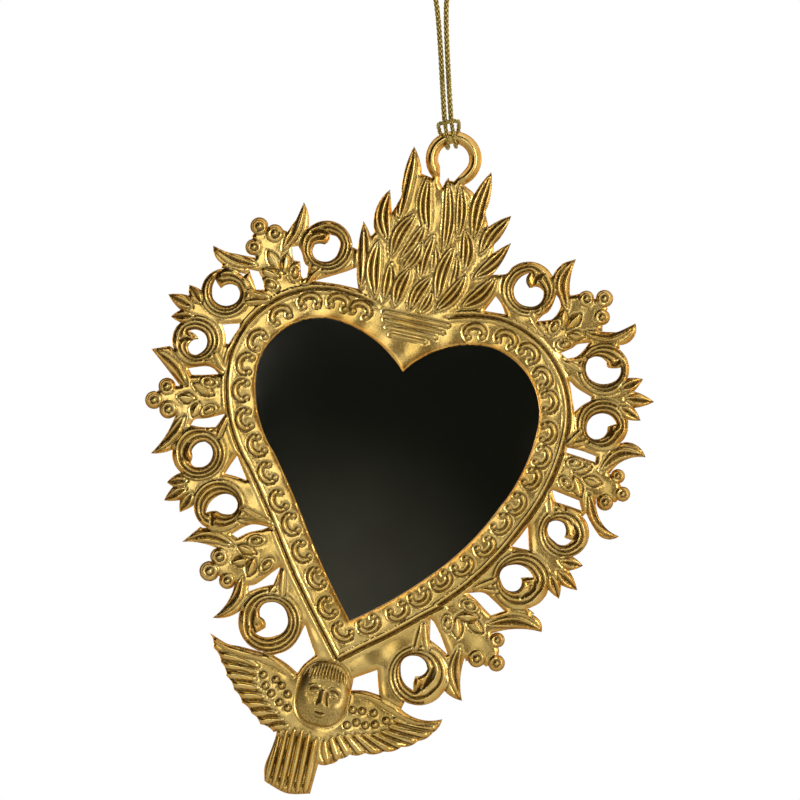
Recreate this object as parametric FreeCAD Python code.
"""Heart-shaped tin wall mirror: pressed plate, looking glass, back and hanging cord, in millimetres."""
import FreeCAD, Part
import math
import os
from FreeCAD import Vector

os.makedirs("parts", exist_ok=True)

# Plate: its height from the tail of the cherub to the top of the ring, and the grid it is drawn on.
# Every table of places below counts squares of that grid, from the middle of the heart.
plate_height = 240.0
grid_count = 240
square = plate_height / grid_count
sheet_thickness = 0.5
rim_width = 11.7

# Relief, measured from the front of the sheet
bead_width = 1.5
bead_inset = 0.5
bead_height = 0.9
ridge_width = 1.5
ridge_height = 0.9
flame_height = 0.7
flame_step = 0.45
leaf_height = 0.8
petal_height = 0.8
bar_height = 0.5
berry_height = 1.2
head_height = 4.0
feather_height = 0.8
stamp_radius = 2.3
stamp_width = 1.4
stamp_height = 0.9
stamp_sweep_deg = 240.0
stamp_side_count = 4
dot_radius = 1.2
dot_height = 1.0
dot_side_count = 5
sink = 0.2

# Hanging ring, pressed half round
ring_outer_radius = 9.8
ring_inner_radius = 5.4
ring_depth = 2.3

# Looking glass and what holds it
glass_overlap = 3.6
glass_thickness = 2.0
card_thickness = 1.0
tin_thickness = 0.4
glass_clearance = 0.4
flange_width = 3.6
tab_place_shares = (0.18, 0.4, 0.6, 0.82)
tab_width = 7.0
tab_foot = 2.0
tab_lap = 2.6
tab_gap = 0.3
solder_size = 0.8

# Hanging cord
cord_diameter = 1.8
cord_clearance = 0.35
hitch_turn_deg = 21.0
cord_lean_deg = 15.5
leg_spacing = 2.3
leg_height_on_ring = 5.0
leg_straight = 35.0
nail_splay = 10.5
nail_radius = 1.25
nail_clearance = 0.35
knot_run = 4.6
knot_radius = 2.7
knot_height = 5.5
tail_length = 6.5
tail_splay = 2.0
bend_gap = 0.3
knot_seat = 0.8
knot_roll_count = 3
knot_waist_share = 0.35
knot_belly_share = 0.2
arc_reach_share = 0.45
cord_side_count = 6
leg_tip_share = 0.5
arc_spot_count = 4
wrap_corner_share = 1.17
wrap_spread_share = 1.13
eye_spread_share = 1.4
bow_share = 1.35
bar_spread_share = 0.6

# Heart opening, each side from the cleft to the point
left_side_shares = [(-0.3, 27.4), (-13.6, 36.8), (-27.5, 40.2), (-43.6, 33.6), (-50.5, 17.5), (-46.2, 1.5),
                    (-34.7, -14.3), (-20, -35.3), (0.4, -61.7)]
right_side_shares = [(-0.3, 27.4), (11, 37.9), (25.4, 42.5), (42.9, 35.4), (50.2, 18), (45.8, -4.5),
                     (38.3, -21.2), (25, -39.5), (0.4, -61.7)]
side_sample_count = 10

# Curled stamps around the rim, each side from the cleft to the point
left_stamp_shares = [
    (-19.5, 45.3), (-27.5, 46.2), (-37.5, 44.3), (-46.5, 37.5), (-52.5, 27.2), (-54.7, 18.3), (-54, 9),
    (-50.7, -0.7), (-44.7, -8.7), (-39, -17.3), (-33, -26), (-27, -33), (-21.3, -41.5), (-14.2, -49.5),
    (-8.3, -58.7), (-1.3, -65.8),
]
right_stamp_shares = [
    (21.2, 46.3), (32.5, 46.3), (41.2, 43.3), (47.7, 36), (51.7, 28.3), (53.6, 17.5), (53.6, 9),
    (51.5, 0.8), (48.3, -9), (44.7, -17), (41, -26), (34.8, -34.4), (28.6, -41), (22.3, -48),
    (16.1, -54.6), (7, -61.2),
]

# Scrolls: centre, outer radius, eye with the hook that curls into it, tail
scroll_shares = [
    ((-35.9, 64.5), 9.1,
     [(-35.7, 68.8), (-32.6, 68.2), (-31.4, 64.5), (-33, 60.4), (-37, 59.1), (-40.3, 61.5), (-40.1, 64.2),
      (-39, 64.8), (-36.8, 65), (-35.9, 65.9)], (-40.3, 51.7)),
    ((36.4, 65.4), 9.5,
     [(35.3, 70.8), (32.2, 67.7), (31.3, 64), (33.4, 60.3), (37.5, 59.3), (41.2, 61.2), (41.8, 65),
      (40.2, 66.5), (38.3, 66.5), (37.3, 65.9), (36.5, 65.7), (34.9, 67.8)], (44.7, 53.0)),
    ((-67.0, 41.0), 8.6,
     [(-71.4, 44.8), (-71.8, 41.6), (-70.6, 38), (-67, 36.5), (-63.2, 38), (-61.9, 41.6), (-63.4, 44.1),
      (-66, 44.3), (-68.8, 42.2), (-69.9, 43.1)], (-53.3, 42.0)),
    ((68.3, 43.5), 8.8,
     [(68.6, 46.2), (65, 47.4), (62.2, 45.8), (62, 42.3), (64.5, 39), (68.8, 38.4), (72.8, 40.4),
      (74.1, 43.2), (73.8, 45.4), (72, 44.7), (69.6, 44.4), (68.8, 45)], (54.7, 43.8)),
    ((-73.3, 22.5), 8.5,
     [(-72.6, 23.2), (-74.2, 24.6), (-76.6, 25.2), (-73.8, 26.2), (-70.6, 25.1), (-69.4, 22), (-71, 18.6),
      (-73.4, 17.5), (-75.7, 19.6), (-74.9, 21.8)], (-63.0, 14.7)),
    ((72.1, 24.5), 8.9,
     [(73.8, 24.2), (73.9, 21.9), (72.2, 19.6), (69.2, 19.1), (66.8, 21.8), (67.2, 25.6), (70.2, 28.1),
      (74, 28.1), (76.6, 25.8), (75.2, 25.1)], (62.8, 16.0)),
    ((-64.0, -15.7), 9.4,
     [(-66, -19.6), (-65.8, -17.6), (-66.5, -15.6), (-65.2, -12.8), (-62.6, -11.4), (-59.8, -13.2),
      (-59.1, -16.2), (-60.6, -19.5), (-63.6, -20.7), (-65.2, -20.4)], (-58.3, -2.7)),
    ((67.0, -15.5), 8.8,
     [(67.3, -17), (67.4, -14.4), (66, -12.2), (63.4, -11.8), (61.2, -13), (61.2, -16.2), (64, -18.8),
      (67.4, -19.7), (70.2, -17.3), (68.8, -17.2)], (60.3, -4.0)),
    ((-53.0, -32.2), 9.0,
     [(-57, -35.6), (-56.2, -31.6), (-53.6, -28.6), (-50.8, -27.6), (-48, -28.5), (-46.7, -31), (-48, -34),
      (-50.6, -34.7), (-53.4, -34.2), (-55.4, -34.7)], (-34.7, -35.0)),
    ((56.0, -34.9), 10.1,
     [(55.5, -34), (56.3, -36.4), (55, -38.8), (52.2, -39.3), (49.4, -37.2), (48.3, -33.4), (50.6, -30.7),
      (55.4, -29.9), (59.8, -32.9), (57.8, -33.3)], (42.0, -40.7)),
    ((-27.0, -68.0), 11.0,
     [(-30.9, -73.1), (-29.2, -71.7), (-27.9, -70.4), (-28.3, -68.6), (-30.6, -67), (-31.2, -64.6),
      (-29.4, -61.8), (-25.6, -61.1), (-21.6, -64.2), (-20.9, -69.2), (-24.4, -72.7), (-28, -73.7)],
     (-26.7, -51.0)),
    ((28.2, -75.2), 10.4,
     [(27.3, -80.6), (23.4, -78.4), (21.4, -74.2), (21.8, -70.6), (24.2, -68.9), (28.4, -69.3), (30.6, -72.2),
      (29.6, -74.4), (27, -75.7), (26.8, -78)], (26.0, -58.6)),
]
tail_width_share = 5.6
tail_reach_share = 3.0
tail_start_share = 0.6

# Berry sprays: web, berries with their radii, two leaves by their edges from base to tip and back, and
# root on the rim
spray_shares = [
    ([(-44.7, 53.5), (-50.7, 60), (-54.7, 64.8), (-60.4, 66.3), (-62.2, 62.4), (-60.7, 58.8), (-58.3, 51.7),
      (-52.5, 46.2), (-46, 46)],
     [(-60.4, 66.3, 3.2), (-54.6, 65.0, 3.3), (-60.7, 58.8, 3.0)],
     [[(-52.5, 58), (-50.3, 66.7), (-48.3, 71.7), (-47, 77.9)], [(-47, 77.9), (-44, 72.6), (-46, 61)]],
     [[(-56.5, 55.5), (-64.3, 55.2), (-70, 55.2), (-74.7, 56.2)],
      [(-74.7, 56.2), (-72.8, 52.2), (-66, 50.6), (-55, 50.2)]],
     (-46.5, 48.5)),
    ([(48, 54.7), (51.3, 60.7), (56.8, 66.3), (63.2, 67.8), (64.9, 64.4), (63.7, 61.2), (64.8, 56.6),
      (58, 54.3), (53, 48.5), (46, 47)],
     [(56.8, 66.3, 2.9), (63.0, 67.7, 3.1), (63.5, 61.2, 2.9)],
     [[(47, 61), (43.8, 72.3), (46.6, 77), (50.3, 79.1)], [(50.3, 79.1), (50.2, 69.5), (53.6, 60)]],
     [[(57, 57), (64.3, 56.3), (70.4, 57.6), (75.5, 61.6)],
      [(75.5, 61.6), (76.2, 57.4), (69.5, 53), (57, 51.5)]],
     (47.5, 49.5)),
    ([(-65.7, 9.8), (-72.7, 6.8), (-79.8, 4.6), (-82.8, 2.4), (-83.2, -1), (-77.7, -3.2), (-70.7, -3.7),
      (-63.7, -1), (-57, 4)],
     [(-79.8, 4.6, 3.1), (-83.2, -1.0, 3.2), (-77.6, -3.1, 3.3)],
     [[(-72, 10.5), (-77, 16), (-82, 18.7), (-88, 16.2)], [(-88, 16.2), (-82, 11.3), (-74, 4.5)]],
     [[(-74.6, -2), (-76.2, -11), (-80.3, -19.5)], [(-80.3, -19.5), (-73.6, -16.9), (-68, -4)]],
     (-58.5, 4.5)),
    ([(65.3, 9.6), (73.5, 8.6), (81, 8), (82.8, 5.2), (84, 2.3), (82.4, -1), (78.6, -1.7), (72, -1),
      (63.8, 0.5), (57, 5)],
     [(81.0, 8.0, 2.6), (84.0, 2.3, 2.7), (78.6, -1.8, 3.0)],
     [[(71.5, 10), (76, 17), (81, 20.3), (86, 19.7), (89.1, 16.6)], [(89.1, 16.6), (82.2, 14), (78, 8)]],
     [[(75.5, 0.5), (77.2, -6.7), (86, -12.4)],
      [(86, -12.4), (82.6, -14.3), (79, -13.6), (74.2, -8.6), (69.5, -1.5)]],
     (58.0, 5.0)),
    ([(-37.5, -40), (-44, -45.2), (-49, -49.6), (-51.8, -52.4), (-51.3, -55.3), (-44.5, -57.3), (-39.3, -55),
      (-32.2, -50), (-31.5, -41.5)],
     [(-49.0, -49.6, 3.3), (-51.3, -55.3, 3.6), (-44.5, -57.2, 3.0)],
     [[(-42, -41), (-50, -42), (-57.8, -40.8), (-62.9, -47.4)],
      [(-62.9, -47.4), (-54.7, -46.4), (-45, -49)]],
     [[(-42.2, -54), (-42.7, -64), (-46.7, -71)], [(-46.7, -71), (-39.2, -68), (-36, -54)]],
     (-34.0, -40.0)),
    ([(40.3, -46), (47.3, -52.4), (52.2, -57.1), (53.8, -60.9), (53.8, -65), (50.4, -67), (46.4, -65),
      (43, -66.8), (40.3, -61.2), (33.4, -55.5), (33.5, -46.5)],
     [(52.2, -57.1, 2.7), (46.6, -64.9, 3.2), (53.7, -65.0, 3.0)],
     [[(45, -47.5), (54, -48.2), (60, -45.9), (64.6, -46.6), (66.8, -51)],
      [(66.8, -51), (57, -52.1), (48, -56.5)]],
     [[(43.5, -60.5), (42.3, -70), (44.8, -80.5)], [(44.8, -80.5), (39, -79.1), (37.6, -60.5)]],
     (34.5, -46.5)),
]
petal_length_share = 10.5
petal_width_share = 4.6
petal_spread_deg = 38.0

# Trefoils: foot between two scrolls, and the tips of three petals
trefoil_shares = [
    ((-70.8, 32.0), [(-79.9, 41.0), (-86.4, 36.2), (-83.8, 28.8)]),
    ((70.6, 34.2), [(82.3, 43.2), (87.8, 36.2), (84.6, 28.8)]),
    ((-61.0, -24.6), [(-72.6, -28.2), (-72.2, -34.6), (-66.0, -37.4)]),
    ((62.0, -25.6), [(75.9, -25.2), (75.8, -34.0), (70.2, -38.3)]),
]
trefoil_width_share = 6.6
trefoil_foot_share = 3.6

# Flames: outline of their body, then each tongue by foot, tip, width and bow to its right
flame_body_shares = [(-23, 47), (-24.4, 60), (-22.5, 70), (-17, 78.5), (-14, 88), (-9, 96.6), (-2.4, 95.6),
                     (-0.2, 92.8), (1.4, 96.4), (5, 96.6), (9.6, 94.4), (15.4, 89.5), (17.5, 84.4),
                     (21.2, 77.6), (22.6, 68), (22.8, 56), (24, 47)]
edge_flame_shares = [
    ((-20.6, 54.0), (-25.2, 76.0), 6.2, 0.04), ((-15.0, 69.0), (-18.5, 88.8), 6.6, -0.1),
    ((-11.2, 84.0), (-13.6, 105.4), 6.8, 0.03), ((1.6, 85.0), (0.5, 97.3), 4.4, 0.0),
    ((11.9, 82.0), (14.8, 102.4), 6.2, 0.0), ((14.5, 73.0), (24.9, 89.0), 6.2, 0.0),
    ((16.0, 61.0), (26.9, 79.7), 5.6, 0.0),
]
front_flame_shares = [
    ((-15.5, 51.5), (-18.5, 70.0), 4.0, -0.05), ((-12.0, 50.5), (-12.5, 63.5), 3.4, 0.05),
    ((-8.0, 49.5), (-6.0, 63.0), 3.6, -0.05), ((-2.5, 49.5), (2.0, 62.0), 3.6, 0.06),
    ((6.3, 51.0), (13.5, 64.5), 3.8, 0.05), ((15.0, 54.0), (24.0, 66.5), 3.8, 0.06),
    ((-12.7, 66.5), (-8.0, 82.0), 3.6, -0.05), ((-8.0, 62.5), (-3.5, 75.0), 3.2, 0.05),
    ((-1.5, 60.5), (0.0, 76.0), 3.6, -0.05), ((6.0, 54.5), (8.0, 74.5), 3.6, 0.05),
    ((13.0, 66.0), (10.5, 80.0), 3.6, 0.06), ((-2.0, 76.0), (-6.5, 95.0), 3.8, -0.04),
    ((4.6, 72.0), (1.5, 94.0), 3.4, 0.04), ((8.8, 77.0), (6.0, 94.0), 3.4, 0.04),
]
bar_shares = [(-11.6, 12.0, 47.2), (-10.8, 11.2, 45.0), (-9.8, 9.6, 42.6), (-9.0, 6.4, 39.8)]
bar_width_share = 1.3

# Cherub: head with the hollow behind it, wings by their upper edges and feather tips, and tail
head_shares = ((-3.1, -88.6), 9.1, 11.5)
head_step_shares = [(0.99, 0.0), (0.95, 0.34), (0.76, 0.7), (0.42, 0.95), (0.16, 1.0)]
hollow_step_shares = [(0.86, 0.0), (0.83, 0.3), (0.62, 0.66), (0.3, 0.88)]
left_wing_shares = [(-4, -82), (-14.5, -83.2), (-23.4, -79.4), (-31.6, -78.8), (-39.9, -78.7),
                    (-46.6, -76.4)]
left_notch_shares = [(-46.6, -76.4), (-44.2, -81.2), (-40.5, -85.5), (-37.6, -89.9), (-34, -94),
                     (-30.2, -97.9), (-26.3, -100.7), (-22.4, -103.8), (-17.2, -105.5), (-6, -104)]
right_wing_shares = [(-2, -86), (6, -85.1), (10.8, -84.2), (15.9, -84.8), (24.1, -87.6), (30.4, -89.9),
                     (39.4, -88.3)]
right_notch_shares = [(39.4, -88.3), (37.2, -93.7), (32.8, -97.6), (27.6, -100.9), (21.9, -103.8),
                      (15.6, -105.8), (10.4, -107.4), (7.2, -109.7), (4.4, -112.2), (0.2, -113), (-6, -104)]
scallop_depth_share = 0.11
left_feather_shares = [
    ((-30, -83), (-43.5, -83)), ((-28, -85.5), (-39.2, -88.4)), ((-25, -87.5), (-34.8, -93.8)),
    ((-22, -90), (-30.6, -98)), ((-19.5, -92), (-25.6, -101)), ((-16, -93.5), (-21, -105)),
]
right_feather_shares = [
    ((21, -91), (38.4, -92.8)), ((20, -93), (33.6, -98.2)), ((18, -95), (28.2, -101.4)),
    ((15.5, -96.5), (22.2, -104.4)), ((12, -98), (16, -106.8)), ((8.5, -99.5), (10.4, -109)),
    ((4.5, -101), (4.6, -113)),
]
wing_dot_shares = [
    (-25.1, -86.6), (-20.5, -87.3), (-23.5, -90.1), (-18, -88.9), (-21, -92.4), (-15.3, -91.4),
    (-17.5, -94.8), (-14.3, -96), (8.1, -91.9), (11.4, -91.6), (15.5, -91.4), (20.3, -93), (7.3, -97.5),
    (10.3, -95.9), (13.6, -96.2), (16.8, -95.2),
]
tail_outline_shares = [(-16.4, -100), (-16.2, -107), (-16.8, -112), (-17.7, -118), (-16.6, -123),
                       (-8.2, -125.4), (-0.1, -123.8), (0.5, -112.6), (0.6, -100)]
tail_ridge_shares = [(-14.9, -14.9), (-12.5, -12.2), (-10, -9.4), (-7.6, -6.8), (-5.2, -4.2), (-2.7, -1.7)]
tail_ridge_top_share = -103.0
tail_ridge_bottom_share = -122.6
tail_ridge_width_share = 1.5

# Plain sheet that carries the ornaments, drawn through their middles, and the gaps pierced in it
web_shares = [
    [(-29.5, 60.5), (-29.5, 66.8), (-21, 65), (-21, 59)],
    [(29.5, 69.4), (29.5, 61.8), (21, 61), (21, 66.8)],
    [(-22, 50), (-22, 62), (-36.3, 64.5), (-47, 62.5), (-55, 58), (-59.5, 51.8), (-67, 41), (-70.8, 32),
     (-73.3, 22.5), (-75, 13), (-74, 4), (-72, -4), (-64, -15.7), (-59.6, -24.8), (-53, -32), (-48, -41),
     (-44, -50), (-39, -56), (-36.5, -62), (-27, -68), (-27, -82), (0, -92), (0, -40), (0, 60)],
    [(22, 50), (22, 62), (36.7, 65), (45.6, 67), (53.5, 62), (60, 54), (68.3, 43.5), (70.6, 34.2),
     (72, 24.5), (76.5, 15.5), (74, 4), (73, -7), (67, -15.5), (62, -25.6), (55.5, -34.5), (52.5, -47.5),
     (47, -54), (40, -61), (37.8, -67), (28, -74.5), (24.5, -88.5), (0, -92), (0, -40), (0, 60)],
    [(50.6, -47.4), (52.6, -43.6), (58, -42.8), (63, -45.2), (54, -50.4)],
    [(-54.7, 64.8), (-53, 67), (-51.2, 66.8), (-50, 66.5), (-49, 60), (-55, 60)],
    [(56.8, 66.3), (54.2, 67.6), (51.6, 66.4), (49.6, 67), (51.5, 61), (57, 62)],
    [(60, 53), (61.5, 50), (72, 51.5), (71.4, 55)],
    [(-59.8, 51.6), (-61.6, 48.9), (-66, 49), (-70.2, 49.2), (-70.4, 51.4), (-64, 52.5)],
    [(-57.5, -41.2), (-48, -38.5), (-46, -41.5), (-49, -44)],
    [(-9, -97), (2, -97), (2, -103), (-9, -103)],
]
gap_shares = [
    [(-37.3, 51.9), (-32.3, 54.6), (-27, 57.6), (-24.1, 59.6), (-23.2, 56), (-21.9, 52.5), (-29, 52.5)],
    [(25.7, 60.3), (23.1, 54.5), (30.2, 54.9), (28.2, 58)],
    [(-47.7, 61.8), (-45.6, 62.5), (-44, 60.6), (-42.2, 57.2), (-40.6, 56.2), (-40.4, 52.4), (-41.5, 51.8),
     (-42.4, 52.6), (-43.8, 57.4), (-46, 57.3), (-46.9, 59)],
    [(46.3, 65.3), (47.8, 63.8), (48.6, 61), (47.2, 57.4), (45.6, 56.2), (41.8, 55), (43, 57), (45, 59.2),
     (45.9, 62)],
    [(-60.6, 50.8), (-57.2, 50.8), (-55.2, 48), (-53.9, 45.1), (-56.8, 44.4), (-58, 46.6), (-59.4, 48.8)],
    [(61, 51.4), (57.4, 50.1), (55.6, 48.2), (52.2, 45.8), (54.8, 44.4), (58, 46), (60, 49)],
    [(-65.6, 29.9), (-63.4, 30.6), (-59.8, 31.6), (-59.7, 30), (-60.9, 27), (-62, 23.8), (-63, 23.8),
     (-64, 27)],
    [(57.4, 36.9), (60.5, 35), (65.8, 33.2), (66, 31.8), (63.6, 29.7), (61.4, 26.9), (59.9, 30.4)],
    [(-73.9, 12.4), (-68.3, 14.4), (-65.4, 14.2), (-63.2, 12.8), (-67.6, 11.5), (-72.2, 10.5)],
    [(61.6, 14), (66.5, 14), (72, 13.2), (72.2, 11.2), (66.9, 11.8), (61.6, 12.3)],
    [(-68.8, -6.8), (-67.6, -4.5), (-63.6, -3.2), (-58, -0.4), (-58.8, -2.6), (-60.2, -5.6), (-64.6, -6.6)],
    [(59.7, -1.6), (64.5, -2.4), (69.6, -3.2), (71.2, -6.4), (66.5, -5.8), (61.8, -5.4), (60.6, -3.6)],
    [(-50.6, -13.8), (-45.6, -21.4), (-49.5, -20.9), (-53.4, -20.8), (-52.2, -17.5)],
    [(54.1, -16), (55.4, -21), (56.2, -23.9), (50.2, -23.9), (52.3, -20)],
    [(-46.5, -41), (-42.3, -37.2), (-39, -35.9), (-34.5, -35.8), (-36.8, -37.2), (-41, -39.2),
     (-44.3, -41.8)],
    [(38.8, -43.2), (44, -42), (48.4, -44.1), (52.4, -46.6), (48.2, -49.1), (45.6, -47.4), (42.2, -45)],
    [(-36.8, -57.4), (-34, -55.9), (-29.2, -50.4), (-27.5, -48.6), (-27.7, -50.4), (-28.5, -55),
     (-32.2, -56.7), (-35.4, -58.6), (-36.4, -59.4)],
    [(27.9, -54.9), (29.4, -56), (33, -60.6), (36.3, -65.8), (34.8, -64.9), (32.6, -63.6), (29.2, -62)],
    [(-14.6, -66.5), (-8.9, -76), (-12, -80), (-13.6, -83.4), (-18, -81), (-23, -79.2), (-18.6, -76.4),
     (-16.1, -72.4)],
    [(6.1, -81), (13.5, -76.4), (14.8, -81), (16, -84.8), (10.8, -84.4), (6.2, -85.2)],
]
ring_centre_shares = (0.9, 104.0)
ring_sweep_deg = 300.0
ring_section_shares = [(-1.0, 0.0), (-0.71, 0.71), (-0.25, 1.0), (0.25, 1.0), (0.71, 0.71), (1.0, 0.0)]
ring_foot_shares = [(-5.4, 92.0), (6.0, 92.0)]
ring_leg_share = 0.7

large_side_count = 18
eye_spot_count = 4
small_side_count = 10
arc_point_count = 3
full_turn_deg = 360.0
quarter_turn_deg = 90.0
half_share = 0.5
tongue_middle_share = 0.45
tongue_foot_share = 0.7
leaf_ridge_share = 0.92
leaf_ridge_width_share = 2.6
berry_top_share = 0.78
overrun = 5.0


def place(spot, y=0.0):
    """Point of the artwork, from a pair of grid squares."""
    return Vector(spot[0] * square, y, spot[1] * square)


def in_plane(angle_deg):
    """Unit direction in the plane of the plate, turned from the right towards up."""
    angle = math.radians(angle_deg)
    return Vector(math.cos(angle), 0, math.sin(angle))


def across(direction):
    """Unit direction a quarter turn to the right of one in the plane of the plate."""
    return Vector(direction.z, 0, -direction.x).normalize()


def edges_through(points):
    """Edges through the points: arcs through three at a time, and a straight edge where two are left."""
    edges = []
    while len(points) >= arc_point_count:
        start, middle, end = points[:arc_point_count]
        edges.append(Part.Arc(start, middle, end).toShape())
        points = points[arc_point_count - 1:]
    if len(points) > 1:
        edges.append(Part.LineSegment(points[0], points[-1]).toShape())
    return edges


def ring_of(points):
    """Straight edges around a closed run of points."""
    return [Part.LineSegment(a, b).toShape() for a, b in zip(points, points[1:] + points[:1])]


def flat(edges):
    """Flat face inside a closed run of edges, turned to the front."""
    face = Part.Face(Part.Wire(edges))
    if face.normalAt(0, 0).y > 0:
        face.reverse()
    return face


def polygon(spots):
    """Flat face with straight sides."""
    return flat(ring_of([place(spot) for spot in spots]))


def round_points(centre, half_width, half_height, count, y=0.0):
    """Points around an oval in the plane of the plate."""
    points = []
    for step in range(count):
        angle = math.tau * step / count
        points.append(centre + Vector(math.cos(angle) * half_width, y, math.sin(angle) * half_height))
    return points


def disc(centre, radius, count):
    """Round face in the plane of the plate, of many short sides."""
    return flat(ring_of(round_points(centre, radius, radius, count)))


def oval(left, right, bottom, top):
    """Oval face from its four ends, of many short sides."""
    centre = place(((left + right) * half_share, (bottom + top) * half_share))
    half_width = (right - left) * half_share * square
    half_height = (top - bottom) * half_share * square
    return flat(ring_of(round_points(centre, half_width, half_height, large_side_count)))


def peaked(base, peak):
    """Solid from a closed run of base points up to one point."""
    faces = [Part.Face(Part.Wire(ring_of(base)))]
    for a, b in zip(base, base[1:] + base[:1]):
        faces.append(Part.Face(Part.Wire(ring_of([a, b, peak]))))
    solid = Part.makeSolid(Part.makeShell(faces))
    if solid.Volume < 0:
        solid.reverse()
    return solid


def banded(rings):
    """Solid built of bands between closed rings of points, closed flat at both ends."""
    faces = [Part.Face(Part.Wire(ring_of(rings[0]))), Part.Face(Part.Wire(ring_of(rings[-1])))]
    for low, high in zip(rings, rings[1:]):
        for a, b, c, d in zip(low, low[1:] + low[:1], high[1:] + high[:1], high):
            faces.append(Part.Face(Part.Wire(ring_of([a, b, c]))))
            faces.append(Part.Face(Part.Wire(ring_of([a, c, d]))))
    solid = Part.makeSolid(Part.makeShell(faces))
    if solid.Volume < 0:
        solid.reverse()
    return solid


def stroke(foot, tip, width, height, bow=0.0):
    """Chisel stroke of the relief: a long kite that rises to one point near its middle."""
    along = tip - foot
    side = across(along)
    middle = foot + along * tongue_middle_share + side * (along.Length * bow)
    half = side * (width * half_share)
    inside = Vector(0, sink - sheet_thickness, 0)
    base = [foot + inside, middle - half + inside, tip + inside, middle + half + inside]
    return peaked(base, middle + Vector(0, -sheet_thickness - height, 0))


def tongue(foot, tip, width, bow=0.0):
    """Flame or petal: a face from a foot to a point, widest below the middle, bowed to its right."""
    along = tip - foot
    side = across(along)
    middle = foot + along * tongue_middle_share + side * (along.Length * bow)
    half = side * (width * half_share)
    heel = half * tongue_foot_share
    edges = edges_through([foot - heel, middle - half, tip])
    edges += edges_through([tip, middle + half, foot + heel])
    return flat(edges + edges_through([foot + heel, foot - heel]))


def strip(start, end, width):
    """Straight band between two points."""
    half = across(end - start) * (width * half_share)
    return flat(ring_of([start - half, end - half, end + half, start + half]))


def joined(faces):
    """One flat face from many that overlap."""
    pieces = faces[0].multiFuse(faces[1:]).Faces
    return Part.makeShell(pieces).removeSplitter().Faces[0]


def raised(face, height):
    """Relief pad: a flat face carried forward from just inside the sheet."""
    pad = face.copy()
    pad.translate(Vector(0, sink - sheet_thickness, 0))
    return pad.extrude(Vector(0, -height - sink, 0))


def heart_side(side_shares):
    """Curve of one side of the opening, from the cleft to the point."""
    spline = Part.BSplineCurve()
    spline.interpolate([place(spot) for spot in side_shares])
    return spline


def outward(spline, parameter, sign):
    """Unit direction away from the opening, at one place on its side."""
    return across(spline.tangent(parameter)[0]) * -sign


def half_heart(side_shares, sign, offset):
    """One half of the heart, its edge moved out by the offset and run on to the axis at the point."""
    spline = heart_side(side_shares)
    span = spline.LastParameter - spline.FirstParameter
    points = []
    for step in range(side_sample_count + 1):
        parameter = spline.FirstParameter + span * step / side_sample_count
        points.append(spline.value(parameter) + outward(spline, parameter, sign) * offset)
    ending = spline.tangent(spline.LastParameter)[0]
    axis_x = spline.value(spline.LastParameter).x
    edges = edges_through(points)
    if offset > 0:
        corner = points[-1] + ending * ((axis_x - points[-1].x) / ending.x)
        edges += edges_through([points[-1], corner])
        points.append(corner)
    return flat(edges + edges_through([points[-1], points[0]]))


def heart(offset):
    """Heart face, its edge moved out from the opening by the offset."""
    return joined([half_heart(left_side_shares, -1, offset), half_heart(right_side_shares, 1, offset)])


def slab(face, near, thickness):
    """Plate of a flat shape, between two distances behind the front plate's back."""
    lower = face.copy()
    lower.translate(Vector(0, near, 0))
    return lower.extrude(Vector(0, thickness, 0))


def scroll_faces(row):
    """Disc and tail of a scroll."""
    centre = place(row[0])
    tail = place(row[3])
    toward = (tail - centre).normalize()
    radius = row[1] * square
    start = centre + toward * (radius * tail_start_share)
    tip = tail + toward * (tail_reach_share * square)
    return [disc(centre, radius, large_side_count), tongue(start, tip, tail_width_share * square)]


def scroll_eye(row):
    """Eye of a scroll, with the hook that curls into it left standing, of many short sides."""
    points = [place(spot) for spot in row[2]]
    corners = []
    for edge in edges_through(points + points[:1]):
        corners += edge.discretize(eye_spot_count)[:-1]
    return flat(ring_of(corners))


def scroll_ridge(row):
    """Raised round that follows the band of a scroll."""
    across_shares, up_shares = zip(*row[2])
    left, right = min(across_shares), max(across_shares)
    bottom, top = min(up_shares), max(up_shares)
    eye = (right - left + top - bottom) * half_share * half_share * square
    centre = place(row[0])
    outer = row[1] * square
    shift = place(((left + right) * half_share, (bottom + top) * half_share)) - centre
    middle = (outer + eye + shift.Length) * half_share
    half = min(ridge_width, outer - eye - shift.Length) * half_share
    band = disc(centre, middle + half, large_side_count).cut(disc(centre, middle - half, large_side_count))
    return raised(band, ridge_height)


def leaf(edges):
    """Leaf face from its two edges."""
    first = [place(spot) for spot in edges[0]]
    second = [place(spot) for spot in edges[1]]
    return flat(edges_through(first) + edges_through(second) + edges_through([second[-1], first[0]]))


def scalloped(upper, notches):
    """Wing face: a smooth upper edge and a row of rounded feather ends between the notches."""
    points = [place(spot) for spot in notches]
    edges = edges_through([place(spot) for spot in upper])
    for a, b in zip(points, points[1:]):
        bulge = (a + b) * half_share + across(a - b) * ((b - a).Length * scallop_depth_share)
        edges.append(Part.Arc(a, bulge, b).toShape())
    return flat(edges + edges_through([points[-1], place(upper[0])]))


def leaf_stroke(edges):
    """Ridge along the middle of a leaf."""
    foot = (place(edges[0][0]) + place(edges[1][-1])) * half_share
    tip = place(edges[0][-1])
    middle = (place(edges[0][1]) + place(edges[1][1])) * half_share
    along = tip - foot
    bow = (middle - foot).dot(across(along)) / along.Length
    return stroke(foot + along * tongue_middle_share * half_share, foot + along * leaf_ridge_share,
                  leaf_ridge_width_share * square, leaf_height, bow * half_share)


def spray_petals(row):
    """Three petals that fan out from the rim under a berry spray."""
    root = place(row[4])
    outer = place(row[0][3])
    along = (outer - root).normalize()
    lean = math.degrees(math.atan2(along.z, along.x))
    start = root + along * (rim_width * half_share)
    reach = petal_length_share * square
    width = petal_width_share * square
    turns = (-petal_spread_deg, 0, petal_spread_deg)
    return [stroke(start, start + in_plane(lean + turn) * reach, width, petal_height) for turn in turns]


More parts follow.
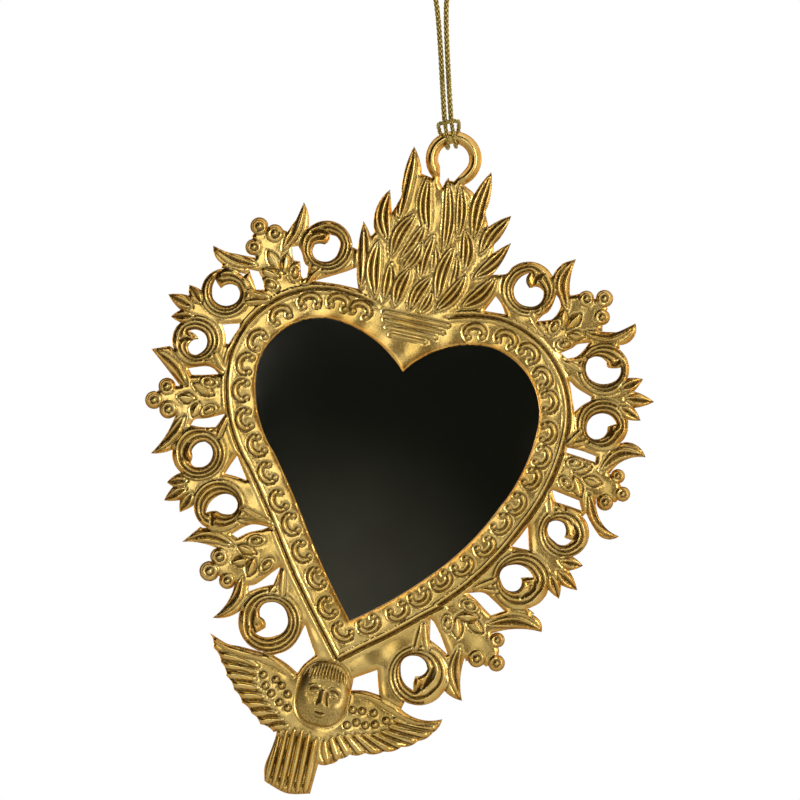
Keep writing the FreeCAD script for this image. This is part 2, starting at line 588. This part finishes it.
def curl(middle, out):
    """Curled face: a part of a ring, open on the side away from a direction."""
    side = across(out)
    half = stamp_width * half_share
    outer = []
    inner = []
    for count in range(stamp_side_count + 1):
        angle = math.radians(stamp_sweep_deg * (count / stamp_side_count - half_share))
        toward = out * math.cos(angle) + side * math.sin(angle)
        outer.append(middle + toward * (stamp_radius + half))
        inner.append(middle + toward * (stamp_radius - half))
    return flat(ring_of(outer + inner[::-1]))


def rim_stamps():
    """Curled stamps around the rim, open towards the glass."""
    solids = []
    for side_shares, sign, spots in ((left_side_shares, -1, left_stamp_shares),
                                     (right_side_shares, 1, right_stamp_shares)):
        spline = heart_side(side_shares)
        for spot in spots:
            middle = place(spot)
            out = outward(spline, spline.parameter(middle), sign)
            solids.append(raised(curl(middle, out), stamp_height))
    return solids


def head_dome():
    """Head of the cherub: an oval dome built of sloping bands, from just inside the sheet."""
    centre, half_width, half_height = head_shares
    rings = []
    for size, rise in head_step_shares:
        depth = sink - sheet_thickness - (head_height + sink) * rise
        rings.append(round_points(place(centre), half_width * size * square, half_height * size * square,
                                  large_side_count, depth))
    return banded(rings)


def head_hollow():
    """Hollow behind the head, where the sheet is pressed forward."""
    centre, half_width, half_height = head_shares
    levels = [(hollow_step_shares[0][0], overrun)]
    levels += [(size, -head_height * rise) for size, rise in hollow_step_shares]
    rings = []
    for size, depth in levels:
        rings.append(round_points(place(centre), half_width * size * square, half_height * size * square,
                                  large_side_count, depth))
    return banded(rings)


def ring_legs():
    """Two bands from the open foot of the ring down into the flames."""
    centre = place(ring_centre_shares)
    middle = (ring_outer_radius + ring_inner_radius) * half_share
    width = (ring_outer_radius - ring_inner_radius) * ring_leg_share
    right_end = -(ring_sweep_deg - full_turn_deg * half_share) * half_share
    ends = (right_end + ring_sweep_deg, right_end)
    return [strip(centre + in_plane(end) * middle, place(foot), width)
            for end, foot in zip(ends, ring_foot_shares)]


def ring_solid():
    """Hanging ring: a round-backed section turned about the ring's axis, open at its foot."""
    centre = place(ring_centre_shares)
    middle = (ring_outer_radius + ring_inner_radius) * half_share
    thick = (ring_outer_radius - ring_inner_radius) * half_share
    start = in_plane(-(ring_sweep_deg - full_turn_deg * half_share) * half_share)
    corners = [centre + start * (middle + thick * wide) + Vector(0, -ring_depth * deep, 0)
               for wide, deep in ring_section_shares]
    section = Part.Face(Part.Wire(ring_of(corners)))
    return section.revolve(centre, Vector(0, -1, 0), ring_sweep_deg)


def sheet_face():
    """Outline of the whole plate with every opening in it."""
    faces = [heart(rim_width), polygon(flame_body_shares), polygon(tail_outline_shares)]
    for row in scroll_shares:
        faces += scroll_faces(row)
    for row in spray_shares:
        faces.append(polygon(row[0]))
        faces += [disc(place(spot[:2]), spot[2] * square, small_side_count) for spot in row[1]]
        faces += [leaf(row[2]), leaf(row[3])]
    for foot, tips in trefoil_shares:
        faces.append(disc(place(foot), trefoil_foot_share * square, small_side_count))
        faces += [tongue(place(foot), place(tip), trefoil_width_share * square) for tip in tips]
    for foot, tip, width, bow in edge_flame_shares:
        faces.append(tongue(place(foot), place(tip), width * square, bow))
    faces.append(scalloped(left_wing_shares, left_notch_shares))
    faces.append(scalloped(right_wing_shares, right_notch_shares))
    faces += [polygon(web) for web in web_shares] + ring_legs()
    centre, half_width, half_height = head_shares
    faces.append(oval(centre[0] - half_width, centre[0] + half_width, centre[1] - half_height,
                      centre[1] + half_height))
    solid_face = joined(faces)
    eyes = [scroll_eye(row) for row in scroll_shares]
    gaps = [polygon(gap) for gap in gap_shares]
    return solid_face.cut([heart(0)] + eyes + gaps)


def relief():
    """Everything that stands proud of the sheet."""
    bead = heart(rim_width - bead_inset).cut(heart(rim_width - bead_inset - bead_width))
    solids = [raised(bead, bead_height)]
    solids += [scroll_ridge(row) for row in scroll_shares]
    for row in spray_shares:
        for spot in row[1]:
            berry = disc(place(spot[:2]), spot[2] * berry_top_share * square, small_side_count)
            solids.append(raised(berry, berry_height))
        solids += [leaf_stroke(row[2]), leaf_stroke(row[3])] + spray_petals(row)
    for foot, tips in trefoil_shares:
        for tip in tips:
            along = place(tip) - place(foot)
            solids.append(stroke(place(foot) + along * tongue_middle_share,
                                 place(foot) + along * leaf_ridge_share,
                                 leaf_ridge_width_share * square, leaf_height))
    for foot, tip, width, bow in edge_flame_shares:
        along = place(tip) - place(foot)
        solids.append(stroke(place(foot), place(foot) + along * leaf_ridge_share,
                             leaf_ridge_width_share * square, flame_height, bow))
    for foot, tip, width, bow in front_flame_shares:
        solids.append(stroke(place(foot), place(tip), width * square, flame_height + flame_step, bow))
    for left, right, level in bar_shares:
        bar = strip(place((left, level)), place((right, level)), bar_width_share * square)
        solids.append(raised(bar, bar_height))
    for foot, tip in left_feather_shares + right_feather_shares:
        along = place(tip) - place(foot)
        solids.append(stroke(place(foot), place(foot) + along * leaf_ridge_share,
                             leaf_ridge_width_share * square, feather_height))
    for spot in wing_dot_shares:
        solids.append(raised(disc(place(spot), dot_radius, dot_side_count), dot_height))
    for top_x, bottom_x in tail_ridge_shares:
        ridge = strip(place((top_x, tail_ridge_top_share)), place((bottom_x, tail_ridge_bottom_share)),
                      tail_ridge_width_share * square)
        solids.append(raised(ridge, bead_height))
    solids += rim_stamps() + [raised(leg, flame_height) for leg in ring_legs()]
    return solids + [head_dome(), ring_solid()]


def front_plate():
    """Pressed and pierced tin plate."""
    sheet = sheet_face().extrude(Vector(0, -sheet_thickness, 0))
    return sheet.multiFuse(relief()).cut(head_hollow()).removeSplitter()


def back_cover():
    """Tin pan over the glass and its card, with a flange that lies on the back of the plate."""
    inner = glass_overlap + glass_clearance
    outer = inner + tin_thickness
    depth = glass_thickness + card_thickness
    flange = slab(heart(outer + flange_width), 0, tin_thickness)
    pan = slab(heart(outer), 0, depth + tin_thickness).fuse(flange)
    return pan.cut(slab(heart(inner), -overrun, depth + overrun)).removeSplitter()


def prism(spot, out, profile):
    """Bar of a tab's width along the rim, from its section: places out from the opening and behind."""
    along = across(out)
    corners = [spot + out * reach + Vector(0, behind, 0) - along * (tab_width * half_share)
               for reach, behind in profile]
    return Part.Face(Part.Wire(ring_of(corners))).extrude(along * tab_width)


def tabs_and_solder():
    """Retaining tabs bent over the flange of the back cover, and the solder at the foot of each."""
    flange_edge = glass_overlap + glass_clearance + tin_thickness + flange_width
    near = flange_edge + tab_gap
    far = near + tin_thickness
    foot = far + tab_foot
    lap = near - tab_lap
    behind = tin_thickness + tin_thickness
    bent = [(foot, 0), (foot, tin_thickness), (far, tin_thickness), (far, behind), (lap, behind),
            (lap, tin_thickness), (near, tin_thickness), (near, 0)]
    fillet = [(foot, 0), (foot + solder_size, 0), (foot, tin_thickness)]
    tabs = []
    solder = []
    for side_shares, sign in ((left_side_shares, -1), (right_side_shares, 1)):
        spline = heart_side(side_shares)
        span = spline.LastParameter - spline.FirstParameter
        for share in tab_place_shares:
            parameter = spline.FirstParameter + span * share
            spot = spline.value(parameter)
            out = outward(spline, parameter, sign)
            tabs.append(prism(spot, out, bent))
            solder.append(prism(spot, out, fillet))
    return tabs, solder


def cord_tube(points, name):
    """Cord of flat sides along straight runs joined by tangent arcs, as large as the runs allow."""
    radius = cord_diameter * half_share
    first_run = (points[1] - points[0]).normalize()
    side = first_run.cross(Vector(0, 1, 0)).normalize() * radius
    steps = [full_turn_deg * count / cord_side_count for count in range(cord_side_count)]
    turns = [FreeCAD.Rotation(first_run, step) for step in steps]
    section = Part.Wire(ring_of([points[0] + turn.multVec(side) for turn in turns]))
    faces = [Part.Face(section)]
    spots = [points[0]]
    radii = []
    for before, corner, after in zip(points, points[1:], points[2:]):
        back = (before - corner).normalize()
        ahead = (after - corner).normalize()
        cut = min((before - corner).Length, (after - corner).Length) * arc_reach_share
        turn = math.pi - back.getAngle(ahead)
        bend = cut / math.tan(turn * half_share)
        radii.append(round(bend, 2))
        run = corner + back * cut - spots[-1]
        faces += section.extrude(run).Faces
        section.translate(run)
        centre = corner + (back + ahead).normalize() * (bend / math.cos(turn * half_share))
        axis = back.cross(ahead) * -1
        faces += section.revolve(centre, axis, math.degrees(turn)).Faces
        section.rotate(centre, axis, math.degrees(turn))
        for count in range(arc_spot_count):
            sweep = FreeCAD.Rotation(axis, math.degrees(turn) * (count + 1) / arc_spot_count)
            spots.append(centre + sweep.multVec(corner + back * cut - centre))
    run = points[-1] - spots[-1]
    faces += section.extrude(run).Faces
    section.translate(run)
    spots.append(points[-1])
    faces.append(Part.Face(section))
    shell = Part.makeShell(faces)
    shell.sewShape()
    tube = Part.makeSolid(shell)
    if tube.Volume < 0:
        tube.reverse()
    length = sum((b - a).Length for a, b in zip(spots, spots[1:]))
    area = faces[0].Area
    print(name, "arc radii", radii)
    print(name, "length", round(length, 2), "volume", round(tube.Volume, 2))
    print(name, "section by length", round(area * length, 2))
    return tube, spots


def hitch_place(sideways, reach, y):
    """Point of the hitch: sideways and out from the centre of the ring, at the hitch's turn."""
    up = in_plane(quarter_turn_deg + hitch_turn_deg)
    return place(ring_centre_shares, y) + across(up) * sideways + up * reach


def hitch_points():
    """Lark's head on the ring: from one leg over the front, up behind and across the bar."""
    radius = cord_diameter * half_share
    stand_off = radius + cord_clearance
    crown = (ring_outer_radius + ring_inner_radius) * half_share
    thick = (ring_outer_radius - ring_inner_radius) * half_share
    swing = (thick + stand_off) * wrap_corner_share
    near = leg_spacing * half_share
    rise = swing * half_share
    bar_reach = ring_outer_radius + cord_diameter + stand_off
    left = [
        (near, ring_outer_radius + leg_height_on_ring - radius - bend_gap, leg_plane()),
        (near, crown + thick + stand_off, -rise),
        (near, crown, -swing),
        (near * wrap_spread_share, crown - thick - stand_off, -rise),
        (near * eye_spread_share, crown - thick - stand_off, rise),
        (near + radius + cord_diameter * half_share, crown + radius, stand_off * wrap_corner_share),
        (near + cord_diameter * bow_share, ring_outer_radius + cord_diameter, stand_off),
        (near + cord_diameter * bow_share, bar_reach, leg_plane() - radius),
        (near + cord_diameter * bar_spread_share, bar_reach, leg_plane() - cord_diameter - stand_off),
    ]
    half = [hitch_place(-sideways, reach, y) for sideways, reach, y in left]
    return half + [hitch_place(sideways, reach, y) for sideways, reach, y in reversed(left)]


def leg_plane():
    """Depth of the cord's legs: the middle of the ring's section."""
    return -ring_depth * half_share


def leg_points(sign):
    """One leg of the cord, from the bend above the hitch past the nail into the knot."""
    up = in_plane(quarter_turn_deg + cord_lean_deg)
    foot = hitch_place(0, ring_outer_radius + leg_height_on_ring, leg_plane())
    near = leg_spacing * half_share
    wide = nail_radius + nail_clearance + cord_diameter * half_share
    run = leg_straight + nail_splay
    return [hitch_place(sign * near, ring_outer_radius + leg_height_on_ring, leg_plane()),
            foot + up * leg_straight + across(up) * (sign * near),
            foot + up * run + across(up) * (sign * wide),
            foot + up * (run + knot_run + knot_seat) + across(up) * (sign * near)]


def nail_point():
    """Where the nail holds the cord: the origin of the part."""
    up = in_plane(quarter_turn_deg + cord_lean_deg)
    foot = hitch_place(0, ring_outer_radius + leg_height_on_ring, leg_plane())
    return foot + up * (leg_straight + nail_splay)


def cord_leg(sign, name):
    """Leg of the cord with a tapered lower end, which bends against the hitch."""
    points = leg_points(sign)
    radius = cord_diameter * half_share
    run = (points[1] - points[0]).normalize()
    depth = math.sqrt(radius * radius - (radius * leg_tip_share) ** 2)
    tip = Part.makeCone(radius * leg_tip_share, radius, depth, points[0] - run * depth, run)
    return cord_tube(points, name)[0].fuse(tip)


def end_knot():
    """Overhand knot: a barrel of three rolls with the two tails standing out of it."""
    up = in_plane(quarter_turn_deg + cord_lean_deg)
    side = across(up)
    base = nail_point() + up * knot_run
    top = base + up * knot_height
    waist = knot_radius - cord_diameter * knot_waist_share
    roll = knot_height / knot_roll_count
    levels = [(0, waist)]
    for count in range(knot_roll_count):
        middle = roll * (count + half_share)
        belly = roll * knot_belly_share
        levels += [(middle - belly, knot_radius), (middle + belly, knot_radius)]
        levels.append((roll * (count + 1), waist))
    steps = [full_turn_deg * count / small_side_count for count in range(small_side_count)]
    turns = [FreeCAD.Rotation(up, step) for step in steps]
    rings = []
    for level, radius in levels:
        rings.append([base + up * level + turn.multVec(side) * radius for turn in turns])
    knot = banded(rings)
    tails = []
    for sign in (-1, 1):
        start = top - up * cord_diameter + side * (sign * leg_spacing * half_share)
        end = top + up * tail_length + side * (sign * (leg_spacing * half_share + tail_splay))
        tails.append(Part.makeCylinder(cord_diameter * half_share, (end - start).Length, start,
                                       end - start))
    return knot.multiFuse(tails).removeSplitter()


def print_least_gap(spots, name):
    """Print the least distance between the cord's own stretches, measured on points along its route."""
    least_run = math.pi * (cord_diameter + cord_clearance)
    runs = [0]
    for a, b in zip(spots, spots[1:]):
        runs.append(runs[-1] + (b - a).Length)
    gaps = []
    for a, run_a in zip(spots, runs):
        gaps += [(b - a).Length for b, run_b in zip(spots, runs) if run_b - run_a > least_run]
    print(name, "least gap to itself", round(min(gaps) - cord_diameter, 2))


def export(shape, node):
    """Write one piece with the nail point at the origin."""
    moved = shape.copy()
    moved.translate(-nail_point())
    print(node, moved.isValid(), len(moved.Solids), round(moved.Volume, 1))
    moved.exportStep("parts/" + node + ".step")


if __name__ == "__main__":
    export(front_plate(), "front_plate")
    export(slab(heart(glass_overlap), 0, glass_thickness), "mirror_glass")
    export(slab(heart(glass_overlap), glass_thickness, card_thickness), "backing_card")
    export(back_cover(), "back_cover")
    tabs, solder = tabs_and_solder()
    for number, tab in enumerate(tabs):
        export(tab, "retaining_tab_" + str(number + 1))
    export(Part.makeCompound(solder), "solder_beads")
    hitch, spots = cord_tube(hitch_points(), "cord_hitch")
    print_least_gap(spots, "cord_hitch")
    export(hitch, "cord_hitch")
    export(cord_leg(-1, "cord_left_leg"), "cord_left_leg")
    export(cord_leg(1, "cord_right_leg"), "cord_right_leg")
    export(end_knot(), "cord_end_knot")
    print("nail point", nail_point())
